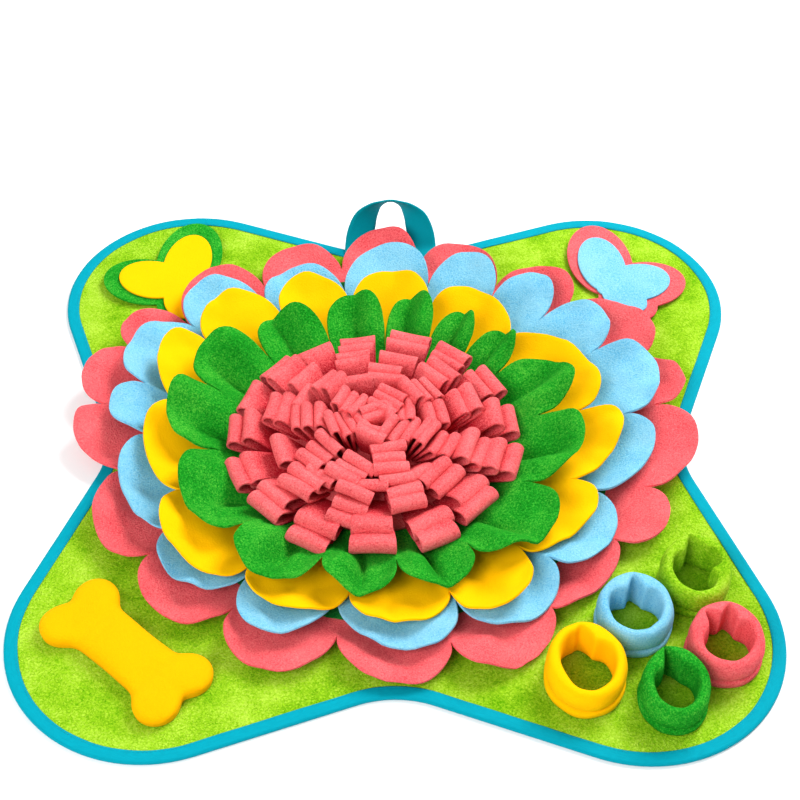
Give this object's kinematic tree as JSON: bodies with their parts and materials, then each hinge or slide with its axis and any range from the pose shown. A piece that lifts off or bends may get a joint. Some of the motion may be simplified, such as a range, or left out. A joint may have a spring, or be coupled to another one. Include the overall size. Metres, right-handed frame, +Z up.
{
  "type": "snuffle mat",
  "caption": "Bound four-lobed fleece mat with a layered fleece flower, strip pompom, padded bone, ring pockets, corner flowers and a carry handle.",
  "frame": {"origin": "on the surface the mat lies on, under the middle of its outline", "axes": "+Z up, +Y from the front edge with the bone and ring pockets to the back edge with the handle, +X to the right as seen from the front"},
  "size_m": [0.7, 0.7, 0.0723],
  "materials": {
    "lime_fleece": "matt mottled pile",
    "teal_tape": "matt folded tape",
    "teal_webbing": "ribbed webbing",
    "coral_fleece": "matt short pile",
    "light_blue_fleece": "matt short pile",
    "yellow_fleece": "matt short pile",
    "green_fleece": "matt speckled pile",
    "dark_green_fleece": "matt short pile"
  },
  "bodies": {
    "root": {"mat_panel": "lime_fleece", "edge_binding": "teal_tape", "carry_handle": "teal_webbing", "pink_petals": "coral_fleece", "flower_disc": "dark_green_fleece", "blue_petals": "light_blue_fleece", "yellow_petals": "yellow_fleece", "green_petals": "green_fleece", "strip_pompom": "coral_fleece", "bone_pad": "yellow_fleece", "ring_pocket_lime": "lime_fleece", "ring_pocket_blue": "light_blue_fleece", "ring_pocket_pink": "coral_fleece", "ring_pocket_yellow": "yellow_fleece", "ring_pocket_green": "green_fleece", "left_flower_green": "green_fleece", "left_flower_yellow": "yellow_fleece", "right_flower_pink": "coral_fleece", "right_flower_blue": "light_blue_fleece"}
  },
  "joints": []
}
